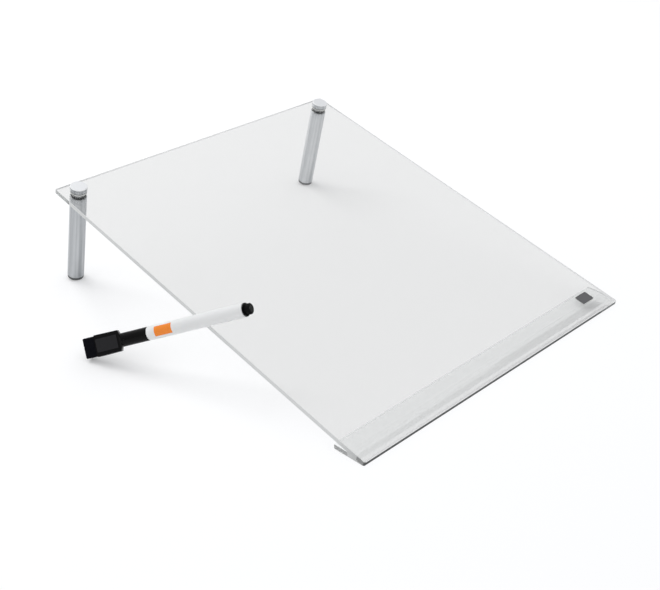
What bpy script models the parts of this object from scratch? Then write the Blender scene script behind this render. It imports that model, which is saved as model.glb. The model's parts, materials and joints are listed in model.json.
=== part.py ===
"""Acrylic desktop memo board on two stand-off legs, with a dry-wipe marker leaning on its edge.

All lengths are metres and +Z is up. X runs along the board's front edge to the right, Y runs to
the back, and the origin is the middle of the foot strip's underside, on the desk.
"""
import bmesh
import bpy
from math import cos, pi, radians, sin, tan
from mathutils import Matrix, Vector

# Board
panel_width = 0.250
panel_length = 0.297
panel_thickness = 0.003
panel_corner_radius = 0.0012
panel_tilt_degrees = 14.0
strip_depth = 0.023
strip_thickness = 0.003
leg_radius = 0.0058
leg_side_inset = 0.0115
leg_back_inset = 0.0107
cap_height = 0.0037

# Fasteners and fits
contact_gap = 0.0003
stud_radius = 0.0030
thread_depth = 0.0005
thread_pitch = 0.0010
stud_engagement = 0.0080
under_washer_thickness = 0.0008
cap_washer_thickness = 0.0007
edge_break = 0.0003

# Marker, measured along its axis from the eraser's end
felt_length = 0.0095
block_length = 0.0183
shoulder_length = 0.0014
cap_tube_length = 0.0186
barrel_length = 0.0680
flange_thickness = 0.0008
knob_length = 0.0036
cap_tube_radius = 0.0044
barrel_radius = 0.0045

# How the marker leans: its lowest corner is on the desk and its barrel on the panel's left edge
marker_heading_degrees = -60.2
marker_roll_degrees = 64.0
lean_place_on_edge = 0.1374
lean_place_on_marker = 0.0854
lean_lowest_degrees = 5.0
lean_steepest_degrees = 45.0
lean_halvings = 50

# Facets
round_steps = 32
inner_steps = 24
thread_steps = 12
thread_rings_per_turn = 4
corner_steps = 8
weld_distance = 0.00001
smooth_limit_degrees = 35.0

tilt = radians(panel_tilt_degrees)
clearance_radius = stud_radius + contact_gap


def clear_scene():
    for thing in list(bpy.data.objects):
        bpy.data.objects.remove(thing, do_unlink=True)


def finish_material(name, colour, roughness, metallic=0.0, transmission=0.0):
    """A Principled material with one colour and finish."""
    material = bpy.data.materials.new(name)
    material.use_nodes = True
    shader = material.node_tree.nodes["Principled BSDF"]
    shader.inputs["Base Color"].default_value = (*colour, 1)
    shader.inputs["Roughness"].default_value = roughness
    shader.inputs["Metallic"].default_value = metallic
    shader.inputs["Transmission Weight"].default_value = transmission
    return material


def axis_empty(name, matrix, parent=None):
    """An empty that holds the pieces on one axis."""
    empty = bpy.data.objects.new(name, None)
    bpy.context.scene.collection.objects.link(empty)
    empty.parent = parent
    empty.matrix_local = matrix
    return empty


def piece(name, shape, material, parent=None):
    """Makes a shape an object of the assembly, smooth where it is round."""
    bmesh.ops.recalc_face_normals(shape, faces=shape.faces)
    mesh = bpy.data.meshes.new(name)
    shape.to_mesh(mesh)
    shape.free()
    mesh.shade_smooth()
    mesh.set_sharp_from_angle(angle=radians(smooth_limit_degrees))
    if material:
        mesh.materials.append(material)
    thing = bpy.data.objects.new(name, mesh)
    bpy.context.scene.collection.objects.link(thing)
    thing.parent = parent
    return thing


def turned(profile, steps=round_steps):
    """A shape turned about Z from (radius, height) points: a closed loop, or a line from axis to axis."""
    shape = bmesh.new()
    points = [shape.verts.new((radius, 0, height)) for radius, height in profile]
    ends = points[1:]
    if all(radius > 0 for radius, height in profile):
        ends = points[1:] + points[:1]
    edges = [shape.edges.new(pair) for pair in zip(points, ends)]
    bmesh.ops.spin(shape, geom=points + edges, axis=(0, 0, 1), angle=2 * pi, steps=steps, use_merge=True)
    bmesh.ops.remove_doubles(shape, verts=shape.verts, dist=weld_distance)
    return shape


def lofted(sections, turn=None):
    """A solid through (outline, height) sections with as many points each, closed at both ends."""
    shape = bmesh.new()
    rings = [[shape.verts.new((x, y, height)) for x, y in outline] for outline, height in sections]
    for lower, upper in zip(rings, rings[1:]):
        for i, corner in enumerate(lower):
            shape.faces.new((lower[i - 1], corner, upper[i], upper[i - 1]))
    shape.faces.new(rings[0])
    shape.faces.new(rings[-1])
    if turn:
        bmesh.ops.transform(shape, matrix=turn, verts=shape.verts)
    return shape


def rounded_rectangle(half_x, half_y, radius):
    """Outline of a rectangle with round corners, counter-clockwise."""
    outline = []
    for quarter in range(4):
        centre_x = (half_x - radius) * (1 if quarter in (0, 3) else -1)
        centre_y = (half_y - radius) * (1 if quarter in (0, 1) else -1)
        for step in range(corner_steps):
            angle = (quarter + step / (corner_steps - 1)) * pi / 2
            outline.append((centre_x + radius * cos(angle), centre_y + radius * sin(angle)))
    return outline


def circle(radius, rib_height=0):
    """Outline of a circle with the points of a rounded rectangle, every second one lower on a ribbed knob."""
    outline = []
    count = 4 * corner_steps
    for step in range(count):
        angle = (step + 1 / 2) * 2 * pi / count
        reach = radius - rib_height * (step % 2)
        outline.append((reach * cos(angle), reach * sin(angle)))
    return outline


def cut_away(target, name, shape):
    """Takes a wire cutter, placed like its target, out of the target."""
    cutter = piece(name, shape, None, target.parent)
    cutter.hide_render = True
    cutter.display_type = "WIRE"
    boolean = target.modifiers.new(name, "BOOLEAN")
    boolean.operation = "DIFFERENCE"
    boolean.solver = "EXACT"
    boolean.object = cutter


clear_scene()

clear_acrylic = finish_material("clear_acrylic", (0.93, 0.95, 0.94), 0.03, transmission=1.0)
satin_aluminium = finish_material("satin_aluminium", (0.62, 0.63, 0.65), 0.32, metallic=1.0)
zinc_steel = finish_material("zinc_plated_steel", (0.55, 0.56, 0.57), 0.30, metallic=1.0)
black_nylon = finish_material("black_nylon", (0.02, 0.02, 0.022), 0.45)
clear_nylon = finish_material("clear_nylon", (0.80, 0.81, 0.80), 0.25, transmission=0.6)
black_rubber = finish_material("black_rubber", (0.03, 0.03, 0.03), 0.75)
badge_grey = finish_material("badge_grey", (0.07, 0.07, 0.075), 0.35)
black_cap_plastic = finish_material("black_cap_plastic", (0.006, 0.006, 0.008), 0.28)
white_barrel_plastic = finish_material("white_barrel_plastic", (0.80, 0.81, 0.81), 0.30)
seal_plastic = finish_material("seal_plastic", (0.70, 0.70, 0.68), 0.40)
ferrite = finish_material("ferrite_magnet", (0.035, 0.035, 0.037), 0.50)
eraser_wool = finish_material("eraser_wool", (0.008, 0.008, 0.014), 0.95)
ink_fibre = finish_material("ink_fibre", (0.02, 0.02, 0.03), 0.90)
nib_fibre = finish_material("nib_fibre", (0.01, 0.01, 0.012), 0.80)

# Memo panel: one clear sheet with polished edges and two stud holes near its back corners.
# Its frame starts at the middle of its lower front edge, on the desk, X to the right, Y up the slope.
board_frame = axis_empty(
    "board_frame",
    Matrix.Translation((0, -strip_depth / 2, 0)) @ Matrix.Rotation(tilt, 4, "X"),
)
leg_x = panel_width / 2 - leg_side_inset
leg_y = panel_length - leg_back_inset


def panel_outline(inset):
    """The sheet's outline, drawn in by the polished edge's break where it is given."""
    points = rounded_rectangle(panel_width / 2 - inset, panel_length / 2 - inset, panel_corner_radius - inset)
    return [(x, y + panel_length / 2) for x, y in points]


memo_panel = piece("memo_panel", lofted([
    (panel_outline(edge_break), 0),
    (panel_outline(0), edge_break),
    (panel_outline(0), panel_thickness - edge_break),
    (panel_outline(edge_break), panel_thickness),
]), clear_acrylic, board_frame)
for side, x in (("left", -leg_x), ("right", leg_x)):
    hole = turned([
        (0, -panel_thickness),
        (clearance_radius, -panel_thickness),
        (clearance_radius, 2 * panel_thickness),
        (0, 2 * panel_thickness),
    ], inner_steps)
    bmesh.ops.translate(hole, vec=(x, leg_y, 0), verts=hole.verts)
    cut_away(memo_panel, side + "_stud_hole", hole)

# Foot strip: a clear strip flat on the desk, bevelled along its front to the panel's underside.
strip_front_height = 0.0004
strip_end_inset = 0.0002

seat_rise = contact_gap / cos(tilt)
front_y = (strip_front_height + seat_rise) / tan(tilt) - strip_depth / 2
bevel_end_y = (strip_thickness + seat_rise) / tan(tilt) - strip_depth / 2
strip_side = [
    (front_y, 0),
    (strip_depth / 2, 0),
    (strip_depth / 2, strip_thickness),
    (bevel_end_y, strip_thickness),
    (front_y, strip_front_height),
]
along_x = Matrix(((0, 0, 1, 0), (1, 0, 0, 0), (0, 1, 0, 0), (0, 0, 0, 1)))
strip_reach = panel_width / 2 - strip_end_inset
foot_strip = piece("foot_strip", lofted([
    (strip_side, -strip_reach),
    (strip_side, strip_reach),
], along_x), clear_acrylic)

# Badge plate: a small bare plate stuck on the panel near its front right corner.
badge_width = 0.0114
badge_height = 0.0077
badge_thickness = 0.0006
badge_corner_radius = 0.0009
badge_side_inset = 0.0191
badge_front_inset = 0.0146

badge_place = Matrix.Translation((
    panel_width / 2 - badge_side_inset,
    badge_front_inset,
    panel_thickness + contact_gap,
))


def badge_outline(inset):
    return rounded_rectangle(badge_width / 2 - inset, badge_height / 2 - inset, badge_corner_radius - inset)


badge_break = badge_thickness / 3
badge_plate = piece("badge_plate", lofted([
    (badge_outline(0), 0),
    (badge_outline(0), badge_thickness - badge_break),
    (badge_outline(badge_break), badge_thickness),
], badge_place), badge_grey, board_frame)

# Stand-off legs: barrel, rubber foot, screw stud, a black washer under the panel, a thin clear one
# on it and a cap on each back corner. Heights are measured along the leg from the panel's
# underside, and the rubber foot's front rim is on the desk.
under_washer_radius = 0.0050
cap_washer_radius = 0.0057
foot_radius = 0.0056
foot_thickness = 0.0012
foot_break = 0.0002
barrel_break = 0.0004
cap_break = 0.0004
cap_bore_depth = 0.0024
barrel_bore_spare = 0.0015

cap_base = panel_thickness + 2 * contact_gap + cap_washer_thickness
barrel_top = -(2 * contact_gap + under_washer_thickness)
foot_base = -(leg_y - foot_radius) * tan(tilt)
barrel_base = foot_base + foot_thickness + contact_gap
stud_base = barrel_top - stud_engagement
bore_base = stud_base - barrel_bore_spare
stud_top = cap_base + cap_bore_depth - contact_gap


def barrel_shape():
    """Aluminium bar with a tapped blind hole in its top."""
    return turned([
        (0, bore_base),
        (clearance_radius, bore_base),
        (clearance_radius, barrel_top),
        (leg_radius - barrel_break, barrel_top),
        (leg_radius, barrel_top - barrel_break),
        (leg_radius, barrel_base + barrel_break),
        (leg_radius - barrel_break, barrel_base),
        (0, barrel_base),
    ])


def foot_shape():
    """Rubber disc stuck under the barrel."""
    return turned([
        (0, foot_base),
        (foot_radius, foot_base),
        (foot_radius, foot_base + foot_thickness - foot_break),
        (foot_radius - foot_break, foot_base + foot_thickness),
        (0, foot_base + foot_thickness),
    ])


def cap_shape():
    """Aluminium cap with a blind hole for the stud in its underside."""
    return turned([
        (0, cap_base + cap_bore_depth),
        (clearance_radius, cap_base + cap_bore_depth),
        (clearance_radius, cap_base),
        (leg_radius - cap_break, cap_base),
        (leg_radius, cap_base + cap_break),
        (leg_radius, cap_base + cap_height - cap_break),
        (leg_radius - cap_break, cap_base + cap_height),
        (0, cap_base + cap_height),
    ])


def washer_shape(radius, base, thickness):
    """Flat ring round the stud, on or under the panel."""
    return turned([
        (clearance_radius, base),
        (radius, base),
        (radius, base + thickness),
        (clearance_radius, base + thickness),
    ])


def stud_shape():
    """Screw stud with a right-hand thread that fades out at both ends."""
    turns = (stud_top - stud_base) / thread_pitch
    count = round(turns * thread_rings_per_turn)
    sections = []
    for level in range(count + 1):
        height = (stud_top - stud_base) * level / count
        fade = min(1, level / thread_rings_per_turn, (count - level) / thread_rings_per_turn)
        outline = []
        for step in range(thread_steps):
            phase = (height / thread_pitch - step / thread_steps) % 1
            ridge = abs(1 - 2 * phase) * fade
            radius = stud_radius - thread_depth * (1 - ridge)
            angle = 2 * pi * step / thread_steps
            outline.append((radius * cos(angle), radius * sin(angle)))
        sections.append((outline, stud_base + height))
    return lofted(sections)


for side, x in (("left", -leg_x), ("right", leg_x)):
    leg_axis = axis_empty(side + "_leg_axis", Matrix.Translation((x, leg_y, 0)), board_frame)
    piece(side + "_leg_barrel", barrel_shape(), satin_aluminium, leg_axis)
    piece(side + "_rubber_foot", foot_shape(), black_rubber, leg_axis)
    piece(side + "_leg_cap", cap_shape(), satin_aluminium, leg_axis)
    piece(side + "_screw_stud", stud_shape(), zinc_steel, leg_axis)
    cap_washer = washer_shape(cap_washer_radius, panel_thickness + contact_gap, cap_washer_thickness)
    piece(side + "_cap_washer", cap_washer, clear_nylon, leg_axis)
    under_washer = washer_shape(under_washer_radius, barrel_top + contact_gap, under_washer_thickness)
    piece(side + "_under_washer", under_washer, black_nylon, leg_axis)

# Marker: places along its axis, each after the one before it.
block_start = felt_length
block_end = block_start + block_length
shoulder_end = block_end + shoulder_length
cap_mouth = shoulder_end + cap_tube_length
barrel_start = cap_mouth + contact_gap
barrel_end = barrel_start + barrel_length
flange_start = barrel_end + contact_gap
knob_start = flange_start + flange_thickness
marker_length = knob_start + knob_length

# Holder block of the cap, with the eraser at its end and the magnet on its face
block_width = 0.0140
block_narrowing = 0.0003
block_thickness = 0.0080
block_corner_radius = 0.0010
block_break = 0.0004
felt_width = 0.0130
felt_thickness = 0.0062
felt_corner_radius = 0.0008
felt_break = 0.0006


def block_outline(inset, narrowing=0):
    return rounded_rectangle(
        block_width / 2 - inset - narrowing,
        block_thickness / 2 - inset,
        block_corner_radius - inset,
    )


def felt_outline(inset, grow=0):
    return rounded_rectangle(
        felt_width / 2 - inset + grow,
        felt_thickness / 2 - inset + grow,
        felt_corner_radius,
    )


def marker_matrix():
    """Place of the marker: its lowest corner on the desk and its barrel on the panel's left top edge."""
    heading = radians(marker_heading_degrees)
    roll = radians(marker_roll_degrees)
    edge_point = board_frame.matrix_world @ Vector((-panel_width / 2, lean_place_on_edge, panel_thickness))
    edge_way = board_frame.matrix_world.to_3x3() @ Vector((0, 1, 0))
    reach = barrel_radius + contact_gap
    corners = [
        (x, y, place)
        for outline, place in (
            (felt_outline(felt_break), 0),
            (felt_outline(0), felt_break),
            (block_outline(block_break), block_start),
            (block_outline(0), block_start + block_break),
        )
        for x, y in outline
    ]
    low = radians(lean_lowest_degrees)
    high = radians(lean_steepest_degrees)
    for halving in range(lean_halvings):
        rise = (low + high) / 2
        way = Vector((cos(rise) * cos(heading), cos(rise) * sin(heading), sin(rise)))
        level = Vector((-sin(heading), cos(heading), 0))
        upright = way.cross(level)
        across = level * cos(roll) + upright * sin(roll)
        face = way.cross(across)
        away = edge_way.cross(way).normalized()
        away = away if away.z > 0 else -away
        start = edge_point + away * reach - way * lean_place_on_marker
        lowest = min((start + across * x + face * y + way * z).z for x, y, z in corners)
        if lowest > 0:
            low = rise
        else:
            high = rise
    turn = Matrix((across, face, way)).transposed().to_4x4()
    return Matrix.Translation(start) @ turn


bpy.context.view_layer.update()
marker_frame = axis_empty("marker_frame", marker_matrix())

# Marker cap: moulded holder block, a little narrower away from the eraser, and the tube over the
# nib, with a shoulder between them that slants from the magnet's face down to the back.
cap_bore_radius = 0.0034
nib_bore_radius = 0.0020
nib_bore_start = 0.0170
tongue_inset = 0.0010
tongue_length = 0.0030
magnet_width = 0.0084
magnet_length = 0.0160
magnet_inset = 0.0009
magnet_thickness = 0.0010
magnet_corner_radius = 0.0005
magnet_break = 0.0002
magnet_recess = 0.0008
shoulder_slant_share = 0.5

cap_bore_start = shoulder_end


def cap_body_shape():
    """The cap's outside, its shoulder lower the further it is behind the magnet's face."""
    shape = lofted([
        (block_outline(block_break), block_start),
        (block_outline(0), block_start + block_break),
        (block_outline(0, block_narrowing), block_end),
        (circle(cap_tube_radius), shoulder_end),
        (circle(cap_tube_radius), cap_mouth),
    ])
    for corner in shape.verts:
        if block_start + block_break < corner.co.z - weld_distance < shoulder_end:
            corner.co.z -= shoulder_slant_share * (block_thickness / 2 - corner.co.y)
    return shape


marker_cap = piece("marker_cap", cap_body_shape(), black_cap_plastic, marker_frame)
cut_away(marker_cap, "cap_bore", turned([
    (0, nib_bore_start),
    (nib_bore_radius, nib_bore_start),
    (nib_bore_radius, cap_bore_start),
    (cap_bore_radius, cap_bore_start),
    (cap_bore_radius, cap_mouth + cap_bore_radius),
    (0, cap_mouth + cap_bore_radius),
], inner_steps))
cut_away(marker_cap, "eraser_socket", lofted([
    (felt_outline(tongue_inset, contact_gap), block_start - block_break),
    (felt_outline(tongue_inset, contact_gap), block_start + tongue_length + contact_gap),
]))
magnet_middle = block_start + magnet_inset + magnet_length / 2
onto_face = Matrix.Translation((0, block_thickness / 2 - magnet_recess, magnet_middle)) @ Matrix(
    ((1, 0, 0, 0), (0, 0, 1, 0), (0, 1, 0, 0), (0, 0, 0, 1))
)


def magnet_outline(grow=0):
    return rounded_rectangle(magnet_width / 2 + grow, magnet_length / 2 + grow, magnet_corner_radius)


cut_away(marker_cap, "magnet_recess", lofted([
    (magnet_outline(contact_gap), -contact_gap),
    (magnet_outline(contact_gap), magnet_thickness + magnet_recess),
], onto_face))

# Eraser: wool felt block whose tongue is held in the cap's socket.
eraser_felt = piece("eraser_felt", lofted([
    (felt_outline(felt_break), 0),
    (felt_outline(0), felt_break),
    (felt_outline(0), felt_length - contact_gap),
    (felt_outline(tongue_inset), felt_length - contact_gap),
    (felt_outline(tongue_inset), felt_length + tongue_length),
]), eraser_wool, marker_frame)

# Magnet: flat ferrite plate in the cap's face.
cap_magnet = piece("cap_magnet", lofted([
    (magnet_outline(), 0),
    (magnet_outline(), magnet_thickness - magnet_break),
    (magnet_outline(-magnet_break), magnet_thickness),
], onto_face), ferrite, marker_frame)

# Cap seal: soft ring in the bottom of the cap's bore that closes on the nib holder.
seal_wall = 0.0006
seal_length = 0.0020

seal_start = cap_bore_start + contact_gap
seal_end = seal_start + seal_length
seal_outer_radius = cap_bore_radius - contact_gap
cap_seal = piece("cap_seal", turned([
    (seal_outer_radius - seal_wall, seal_start),
    (seal_outer_radius, seal_start),
    (seal_outer_radius, seal_end),
    (seal_outer_radius - seal_wall, seal_end),
], inner_steps), seal_plastic, marker_frame)

# Marker barrel: white tube with a slimmer neck that sits inside the cap.
barrel_wall = 0.0010
neck_length = 0.0142
neck_bore_radius = 0.0019
chamber_start_inset = 0.0030

neck_radius = cap_bore_radius - contact_gap
neck_start = barrel_start - neck_length
chamber_radius = barrel_radius - barrel_wall
chamber_start = barrel_start + chamber_start_inset
marker_barrel = piece("marker_barrel", turned([
    (neck_bore_radius, neck_start),
    (neck_radius, neck_start),
    (neck_radius, barrel_start),
    (barrel_radius - edge_break, barrel_start),
    (barrel_radius, barrel_start + edge_break),
    (barrel_radius, barrel_end - edge_break),
    (barrel_radius - edge_break, barrel_end),
    (chamber_radius, barrel_end),
    (chamber_radius, chamber_start),
    (neck_bore_radius, chamber_start),
]), white_barrel_plastic, marker_frame)

# Nib and its holder: the holder plugs into the neck and its nose passes through the cap's seal.
nib_radius = 0.0011
nib_tip_radius = 0.0004
nib_tip_length = 0.0012
nib_nose_length = 0.0060
holder_nose_radius = 0.0020
holder_tip_radius = 0.0017
holder_nose_length = 0.0048
holder_collar_radius = 0.0028
holder_collar_thickness = 0.0010
holder_root_length = 0.0040
nib_in_reservoir = 0.0060

holder_bore_radius = nib_radius + contact_gap
holder_root_radius = neck_bore_radius - contact_gap
collar_end = neck_start - contact_gap
collar_start = collar_end - holder_collar_thickness
nose_start = collar_start - holder_nose_length
nib_start = nose_start - nib_nose_length
reservoir_start = chamber_start + contact_gap
nib_end = reservoir_start + nib_in_reservoir
nib_holder = piece("nib_holder", turned([
    (holder_bore_radius, nose_start),
    (holder_tip_radius, nose_start),
    (holder_nose_radius, collar_start),
    (holder_collar_radius, collar_start),
    (holder_collar_radius, collar_end),
    (holder_root_radius, collar_end),
    (holder_root_radius, neck_start + holder_root_length),
    (holder_bore_radius, neck_start + holder_root_length),
], inner_steps), seal_plastic, marker_frame)
marker_nib = piece("marker_nib", turned([
    (0, nib_start),
    (nib_tip_radius, nib_start),
    (nib_radius, nib_start + nib_tip_length),
    (nib_radius, nib_end),
    (0, nib_end),
], inner_steps), nib_fibre, marker_frame)

# End plug: black stopper pressed into the barrel's tail, with a flange and a ribbed knob.
plug_length = 0.0040
plug_radius = chamber_radius - contact_gap
knob_radius = 0.0034
knob_rib_height = 0.0003
knob_break = 0.0005

flange_radius = barrel_radius - edge_break
end_plug = piece("end_plug", lofted([
    (circle(plug_radius - edge_break), barrel_end - plug_length),
    (circle(plug_radius), barrel_end - plug_length + edge_break),
    (circle(plug_radius), flange_start),
    (circle(flange_radius), flange_start),
    (circle(flange_radius), knob_start),
    (circle(knob_radius, knob_rib_height), knob_start),
    (circle(knob_radius, knob_rib_height), marker_length - knob_break),
    (circle(knob_radius - knob_break), marker_length),
]), black_cap_plastic, marker_frame)

# Ink reservoir: fibre rod that fills the barrel and feeds the nib's tail.
reservoir_end = barrel_end - plug_length - contact_gap
reservoir_radius = chamber_radius - contact_gap
ink_reservoir = piece("ink_reservoir", turned([
    (0, nib_end + contact_gap),
    (holder_bore_radius, nib_end + contact_gap),
    (holder_bore_radius, reservoir_start),
    (reservoir_radius, reservoir_start),
    (reservoir_radius, reservoir_end),
    (0, reservoir_end),
], inner_steps), ink_fibre, marker_frame)
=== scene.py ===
"""Looks of the clear acrylic memo board on its foot strip and two legs, and of its marker.

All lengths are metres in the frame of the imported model: X runs along the board's front edge to
the right, Y to the back, Z up, and the desk is at zero.
"""
import json
from math import atan2, degrees, hypot, pi, radians
from random import Random
import bmesh
import bpy
from mathutils import Euler, Matrix, Vector


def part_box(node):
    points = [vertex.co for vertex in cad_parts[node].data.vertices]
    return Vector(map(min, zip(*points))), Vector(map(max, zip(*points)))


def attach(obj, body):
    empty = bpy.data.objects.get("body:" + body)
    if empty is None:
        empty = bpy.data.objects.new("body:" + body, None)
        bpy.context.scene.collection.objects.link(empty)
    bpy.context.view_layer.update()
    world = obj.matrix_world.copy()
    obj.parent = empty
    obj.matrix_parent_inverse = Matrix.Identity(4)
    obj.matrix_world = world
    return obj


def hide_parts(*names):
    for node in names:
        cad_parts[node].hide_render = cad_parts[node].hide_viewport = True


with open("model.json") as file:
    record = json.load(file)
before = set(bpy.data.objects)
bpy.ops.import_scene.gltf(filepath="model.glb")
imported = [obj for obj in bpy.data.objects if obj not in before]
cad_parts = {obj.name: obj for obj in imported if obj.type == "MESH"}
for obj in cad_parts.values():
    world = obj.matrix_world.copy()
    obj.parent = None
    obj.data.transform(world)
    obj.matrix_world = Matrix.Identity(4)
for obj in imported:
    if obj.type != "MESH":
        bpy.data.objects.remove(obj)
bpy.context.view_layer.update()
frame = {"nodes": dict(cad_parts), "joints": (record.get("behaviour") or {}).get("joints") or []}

# Camera: in front of the board's left side and looking down on it, with a long lens, so that the
# far edge is little smaller than the near one.
camera_place = (-0.48208, -0.34434, 0.38740)
camera_turn = Euler([radians(angle) for angle in (60.2405, 0.1584, -44.9748)])
camera_lens = 61.309
camera_sensor = 36

bpy.ops.object.select_all(action="DESELECT")
bpy.ops.object.camera_add(location=camera_place, rotation=camera_turn)
camera = bpy.context.object
camera.data.lens = camera_lens
camera.data.sensor_width = camera_sensor
bpy.context.scene.camera = camera
bpy.context.scene.view_settings.view_transform = "Standard"

# Desk and light: a white desk in an even pale room, under one large soft box high behind the board.
# The desk glows a little for the eye, in reflections and through glass, so that it is white there,
# and its own shading still takes the board's shadows.
desk_size = 8.0
desk_gap = 0.0001
desk_white = "F0F0F0"
desk_glow = 0.19
room_white = "F7F8FA"
room_strength = 0.82
box_place = Vector((-0.10, 1.45, 1.75))
box_aim = Vector((0, 0.12, 0))
box_size = (1.3, 1.0)
box_power = 12.0


def linear(colour):
    """A colour written as sRGB hex, turned to linear values with full alpha."""
    parts = [int(colour[i:i + 2], 16) / 255 for i in (0, 2, 4)]
    return [part / 12.92 if part <= 0.04045 else ((part + 0.055) / 1.055) ** 2.4 for part in parts] + [1]


def add_node(tree, kind, inputs=None, **settings):
    """Adds a node with its settings, and gives its inputs a value or a link from another node."""
    node = tree.nodes.new(kind)
    for name, value in settings.items():
        setattr(node, name, value)
    for name, value in (inputs or {}).items():
        if isinstance(value, bpy.types.NodeSocket):
            tree.links.new(value, node.inputs[name])
        else:
            node.inputs[name].default_value = value
    return node


def new_finish(name):
    """A material without nodes, and its tree."""
    finish = bpy.data.materials.new(name)
    finish.use_nodes = True
    finish.node_tree.nodes.clear()
    return finish, finish.node_tree


desk_paint, tree = new_finish("white_desk")
ray = add_node(tree, "ShaderNodeLightPath").outputs
seen = add_node(
    tree, "ShaderNodeMath", {0: ray["Is Camera Ray"], 1: ray["Is Glossy Ray"]}, operation="MAXIMUM"
)
seen = add_node(
    tree, "ShaderNodeMath", {0: seen.outputs[0], 1: ray["Is Transmission Ray"]}, operation="MAXIMUM"
)
glow = add_node(tree, "ShaderNodeMath", {0: seen.outputs[0], 1: desk_glow}, operation="MULTIPLY")
paint = add_node(tree, "ShaderNodeBsdfDiffuse", {"Color": linear(desk_white)})
light = add_node(tree, "ShaderNodeEmission", {"Strength": glow.outputs[0]})
surface = add_node(tree, "ShaderNodeAddShader", {0: paint.outputs[0], 1: light.outputs[0]})
add_node(tree, "ShaderNodeOutputMaterial", {"Surface": surface.outputs[0]})

bpy.ops.object.select_all(action="DESELECT")
bpy.ops.mesh.primitive_plane_add(size=desk_size, location=(0, 0, -desk_gap))
desk = bpy.context.object
desk.name = "desk_top"
desk.data.materials.append(desk_paint)

room = bpy.data.worlds.new("pale_room")
room.use_nodes = True
room.node_tree.nodes.clear()
air = add_node(
    room.node_tree, "ShaderNodeBackground", {"Color": linear(room_white), "Strength": room_strength}
)
add_node(room.node_tree, "ShaderNodeOutputWorld", {"Surface": air.outputs[0]})
bpy.context.scene.world = room

bpy.ops.object.light_add(type="AREA", location=box_place)
soft_box = bpy.context.object
soft_box.rotation_euler = (box_place - box_aim).to_track_quat("Z", "Y").to_euler()
soft_box.data.shape = "RECTANGLE"
soft_box.data.size, soft_box.data.size_y = box_size
soft_box.data.energy = box_power

# Memo panel: one sheet of clear cast acrylic, ground, scraped and flame polished at its edges, with
# a plain hole for the screw near each back corner. Everything on the board is modelled flat, from
# the middle of the sheet's lower front edge, and then laid on the slope.
panel_corner = 0.0012
panel_edge_break = 0.0003
corner_segments = 7
turned_sides = 96
weld_distance = 0.000001
panel_clear = "ECECEB"
ground_clear = "F2F3F2"
# A grey tint of painted shade, for the clear part of the scraped and polished edges.
painted_shade_clear = "9FA3A1"
sheet_shade = "FCFCFC"
scraped_white = "E4E5E4"
ground_white = "FFFFFF"
# A dark grey of painted shade, the dull share of the front edge.
painted_shade_grey = "5C5E5D"
acrylic_ior = 1.49
wipe_mark_width = 0.004
wipe_mark_length = 0.12
scrape_pitch = 0.0006
scrape_length = 0.03
edge_roughness = 0.15
polished_return = 0.0060
scraped_start = 0.0240

# How much of an edge is dull, at the front corners and from where the scraped stretch starts.
ground_shares = (0.97, 0.97)
scraped_shares = (0.7, 0.97)
polished_shares = (0.75, 0.75)
half_polished_shares = (0.33, 0.33)

# How much of a face's direction is along an axis: barely any, a part, most, or square on to it.
barely = 0.1
partly = 0.3
mostly = 0.5
square_on = 0.99


def joint(name):
    """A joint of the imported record."""
    return next(found for found in frame["joints"] if found["name"] == name)


def own_corners(place, *nodes):
    """Lowest and highest corners of CAD nodes, in the frame of a place."""
    inside = place.inverted()
    points = [inside @ vertex.co for node in nodes for vertex in frame["nodes"][node].data.vertices]
    return Vector([min(values) for values in zip(*points)]), Vector([max(values) for values in zip(*points)])


def own_radii(place, node):
    """Smallest and largest distance of a turned CAD node from the axis of a place."""
    inside = place.inverted()
    points = [inside @ vertex.co for vertex in frame["nodes"][node].data.vertices]
    distances = [hypot(point.x, point.y) for point in points]
    return min(distances), max(distances)


def pick(piece, kind, rule):
    """Selects the open piece's faces or edges that a rule is true for."""
    bpy.ops.mesh.select_mode(type="FACE" if kind == "faces" else "EDGE")
    bpy.ops.mesh.select_all(action="DESELECT")
    shape = bmesh.from_edit_mesh(piece.data)
    for part in getattr(shape, kind):
        part.select_set(bool(rule(part)))
    shape.select_flush_mode()
    bmesh.update_edit_mesh(piece.data)


def finish_faces(piece, number, rule):
    """Gives the finish in a numbered slot to the open piece's faces that a rule is true for."""
    pick(piece, "faces", rule)
    piece.active_material_index = number
    bpy.ops.object.material_slot_assign()


def new_block(name, low, high, corner):
    """Adds a block between two corners with its four upright edges rounded, and leaves it open."""
    bpy.ops.object.select_all(action="DESELECT")
    bpy.ops.mesh.primitive_cube_add(size=1, location=(low + high) / 2, scale=high - low)
    block = bpy.context.object
    block.name = block.data.name = name
    bpy.ops.object.transform_apply(location=True, rotation=True, scale=True)
    bpy.ops.object.mode_set(mode="EDIT")
    pick(block, "edges", lambda edge: (
        abs((edge.verts[0].co - edge.verts[1].co).normalized().z) > square_on
    ))
    bpy.ops.mesh.bevel(offset=corner, segments=corner_segments)
    return block


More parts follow.
